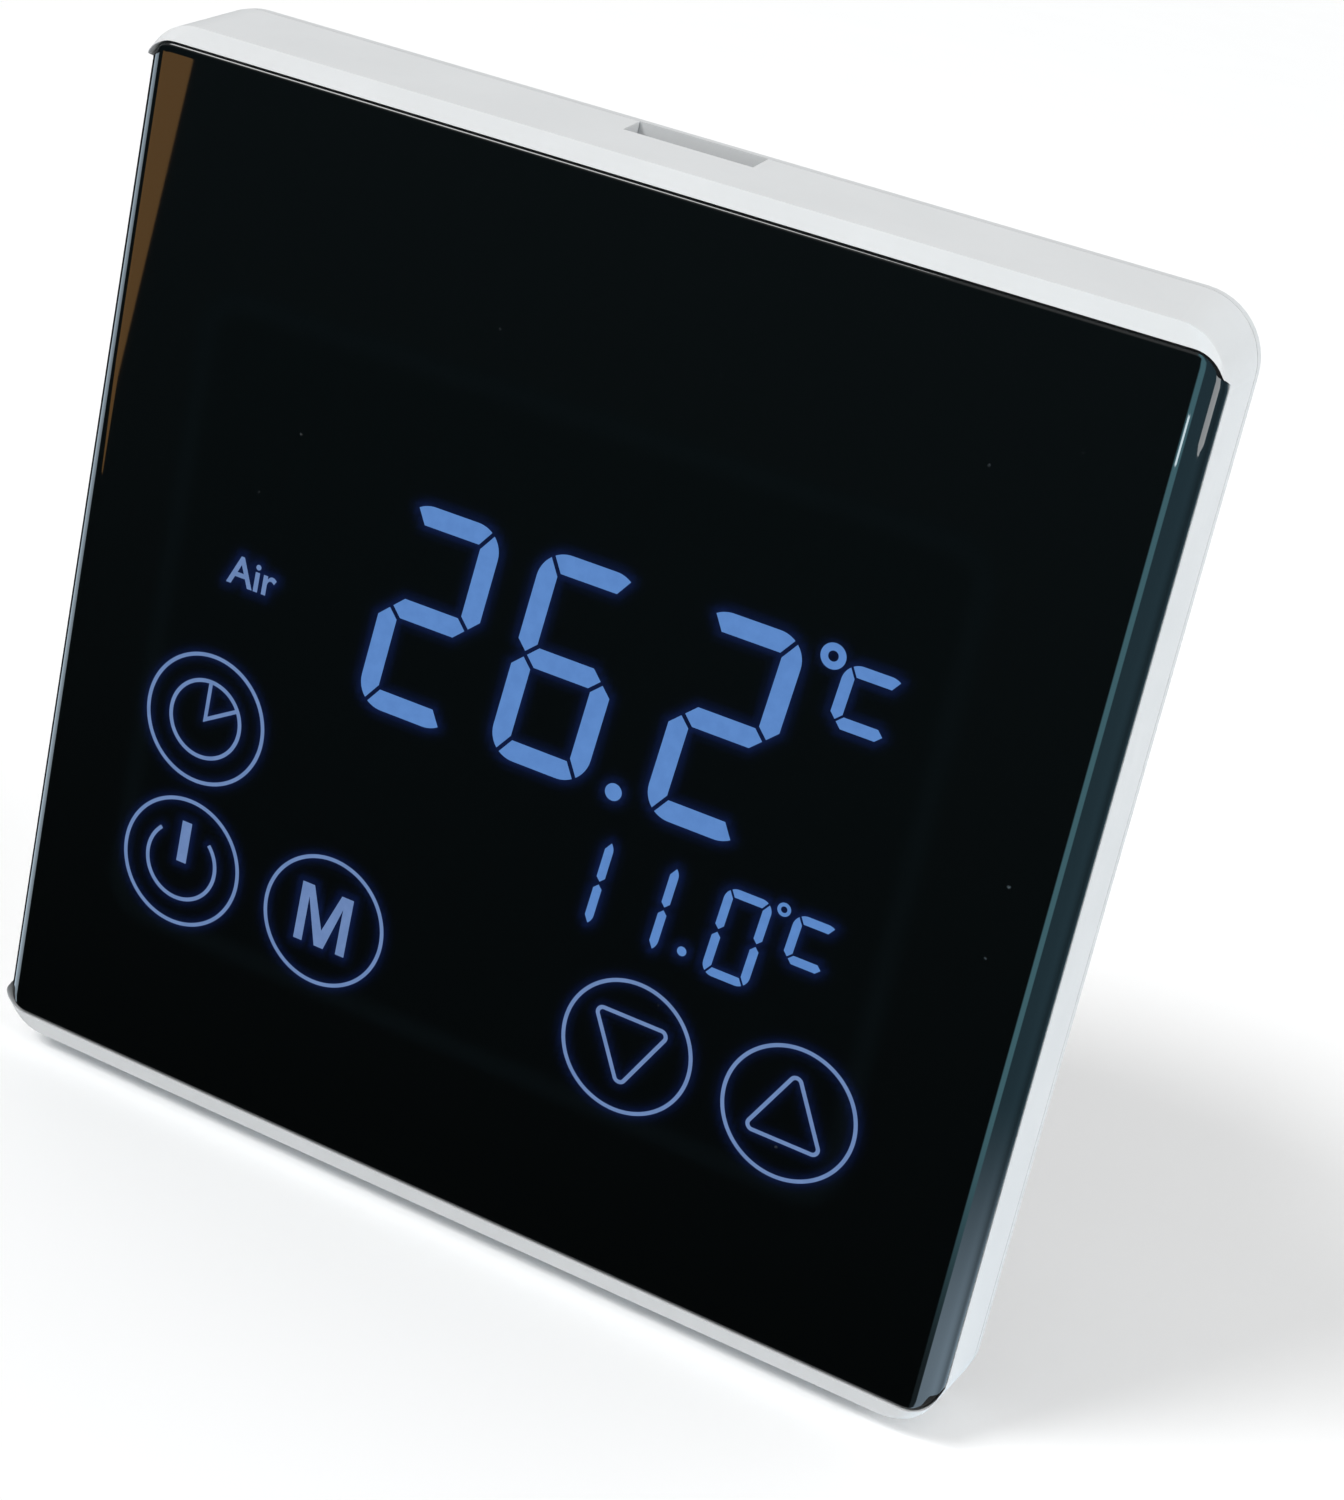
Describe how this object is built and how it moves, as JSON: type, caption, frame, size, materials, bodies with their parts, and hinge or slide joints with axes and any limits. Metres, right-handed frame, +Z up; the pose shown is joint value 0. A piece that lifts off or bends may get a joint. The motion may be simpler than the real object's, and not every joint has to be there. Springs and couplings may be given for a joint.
{
  "type": "wall thermostat",
  "caption": "Flush wall thermostat: black touch panel with lit display in a flared white frame, pull-off cover, rear box with power board, relay and screw terminals.",
  "frame": {"origin": "midpoint between the two fixing slots, in the plane of the wall face", "axes": "+X to the right of someone facing the panel, +Z up, +Y into the wall; the panel faces -Y"},
  "size_m": [0.0866, 0.038, 0.0884],
  "materials": {
    "panel_black": "polished black acrylic",
    "white_moulding": "fine satin moulding",
    "grey_moulding": "satin moulding",
    "black_moulding": "matt moulding",
    "brown_moulding": "matt moulding",
    "adhesive": "soft matt",
    "clear_film": "clear film",
    "display_glass": "polished",
    "light_guide": "clear to milky",
    "lamp_yellow": "phosphor",
    "circuit_board": "lacquered",
    "zinc_steel": "zinc plated",
    "tinned_metal": "tin plated",
    "gilt_pins": "gold flash",
    "contact_brass": "stamped brass",
    "copper_wire": "enamelled copper",
    "winding_tape": "wound yellow tape",
    "ferrite": "sintered",
    "can_sleeve": "shrunk sleeve",
    "blue_coating": "dipped",
    "relay_blue": "moulded"
  },
  "bodies": {
    "wall_unit": {"wall_plate": "white_moulding", "rear_box": "white_moulding", "box_screws": "zinc_steel", "power_board": "circuit_board", "pin_header": "black_moulding", "header_pins": "gilt_pins", "transformer_core": "ferrite", "transformer_coil": "winding_tape", "capacitors": "can_sleeve", "rectifier": "black_moulding", "varistor": "blue_coating", "fuse": "brown_moulding", "relay_base": "black_moulding", "relay_case": "relay_blue", "relay_coil": "copper_wire", "relay_yoke": "zinc_steel", "relay_contacts": "contact_brass", "terminal_block": "grey_moulding", "terminal_bars": "contact_brass"},
    "front_cover": {"touch_panel": "panel_black", "front_housing": "white_moulding", "panel_adhesive": "adhesive", "touch_film": "clear_film", "tail_connector": "black_moulding", "lcd_front_glass": "display_glass", "lcd_rear_glass": "display_glass", "lcd_pins": "tinned_metal", "lcd_holder": "grey_moulding", "backlight_block": "light_guide", "backlight_leds": "lamp_yellow", "display_board": "circuit_board", "display_board_screws": "zinc_steel", "control_chip": "black_moulding", "board_socket": "black_moulding", "buzzer": "black_moulding", "clock_cell": "tinned_metal", "cell_holder": "black_moulding", "crystal": "tinned_metal", "air_sensor": "black_moulding"},
    "armature": {"relay_armature": "zinc_steel"},
    "screw_1": {"terminal_screw_1": "zinc_steel"},
    "clamp_1": {"terminal_clamp_1": "contact_brass"},
    "screw_2": {"terminal_screw_2": "zinc_steel"},
    "clamp_2": {"terminal_clamp_2": "contact_brass"},
    "screw_3": {"terminal_screw_3": "zinc_steel"},
    "clamp_3": {"terminal_clamp_3": "contact_brass"},
    "screw_4": {"terminal_screw_4": "zinc_steel"},
    "clamp_4": {"terminal_clamp_4": "contact_brass"},
    "screw_5": {"terminal_screw_5": "zinc_steel"},
    "clamp_5": {"terminal_clamp_5": "contact_brass"},
    "screw_6": {"terminal_screw_6": "zinc_steel"},
    "clamp_6": {"terminal_clamp_6": "contact_brass"}
  },
  "joints": [
    {"name": "cover_pull", "type": "slide", "parent": "wall_unit", "child": "front_cover", "axis": [0, -1, 0], "range_m": [0, 0.06]},
    {"name": "armature_rock", "type": "hinge", "parent": "wall_unit", "child": "armature", "pos_m": [0.0037, 0.0224, -0.0061], "axis": [0, 0, -1], "range_deg": [0, 3.5], "stiffness_Nm_per_rad": 0.002, "springref_deg": -17.19},
    {"name": "screw_1_turn", "type": "hinge", "parent": "wall_unit", "child": "screw_1", "pos_m": [-0.0175, 0.02, -0.0224], "axis": [0, -1, 0], "range_deg": [0, 1800]},
    {"name": "clamp_1_lift", "type": "slide", "parent": "wall_unit", "child": "clamp_1", "axis": [0, 1, 0], "range_m": [0, 0.0025]},
    {"name": "screw_2_turn", "type": "hinge", "parent": "wall_unit", "child": "screw_2", "pos_m": [-0.0105, 0.02, -0.0224], "axis": [0, -1, 0], "range_deg": [0, 1800]},
    {"name": "clamp_2_lift", "type": "slide", "parent": "wall_unit", "child": "clamp_2", "axis": [0, 1, 0], "range_m": [0, 0.0025]},
    {"name": "screw_3_turn", "type": "hinge", "parent": "wall_unit", "child": "screw_3", "pos_m": [-0.0035, 0.02, -0.0224], "axis": [0, -1, 0], "range_deg": [0, 1800]},
    {"name": "clamp_3_lift", "type": "slide", "parent": "wall_unit", "child": "clamp_3", "axis": [0, 1, 0], "range_m": [0, 0.0025]},
    {"name": "screw_4_turn", "type": "hinge", "parent": "wall_unit", "child": "screw_4", "pos_m": [0.0035, 0.02, -0.0224], "axis": [0, -1, 0], "range_deg": [0, 1800]},
    {"name": "clamp_4_lift", "type": "slide", "parent": "wall_unit", "child": "clamp_4", "axis": [0, 1, 0], "range_m": [0, 0.0025]},
    {"name": "screw_5_turn", "type": "hinge", "parent": "wall_unit", "child": "screw_5", "pos_m": [0.0105, 0.02, -0.0224], "axis": [0, -1, 0], "range_deg": [0, 1800]},
    {"name": "clamp_5_lift", "type": "slide", "parent": "wall_unit", "child": "clamp_5", "axis": [0, 1, 0], "range_m": [0, 0.0025]},
    {"name": "screw_6_turn", "type": "hinge", "parent": "wall_unit", "child": "screw_6", "pos_m": [0.0175, 0.02, -0.0224], "axis": [0, -1, 0], "range_deg": [0, 1800]},
    {"name": "clamp_6_lift", "type": "slide", "parent": "wall_unit", "child": "clamp_6", "axis": [0, 1, 0], "range_m": [0, 0.0025]}
  ],
  "couplings": [
    {"joint": "screw_1_turn", "follows": "clamp_1_lift", "rad_per_m": 12566},
    {"joint": "screw_2_turn", "follows": "clamp_2_lift", "rad_per_m": 12566},
    {"joint": "screw_3_turn", "follows": "clamp_3_lift", "rad_per_m": 12566},
    {"joint": "screw_4_turn", "follows": "clamp_4_lift", "rad_per_m": 12566},
    {"joint": "screw_5_turn", "follows": "clamp_5_lift", "rad_per_m": 12566},
    {"joint": "screw_6_turn", "follows": "clamp_6_lift", "rad_per_m": 12566}
  ]
}
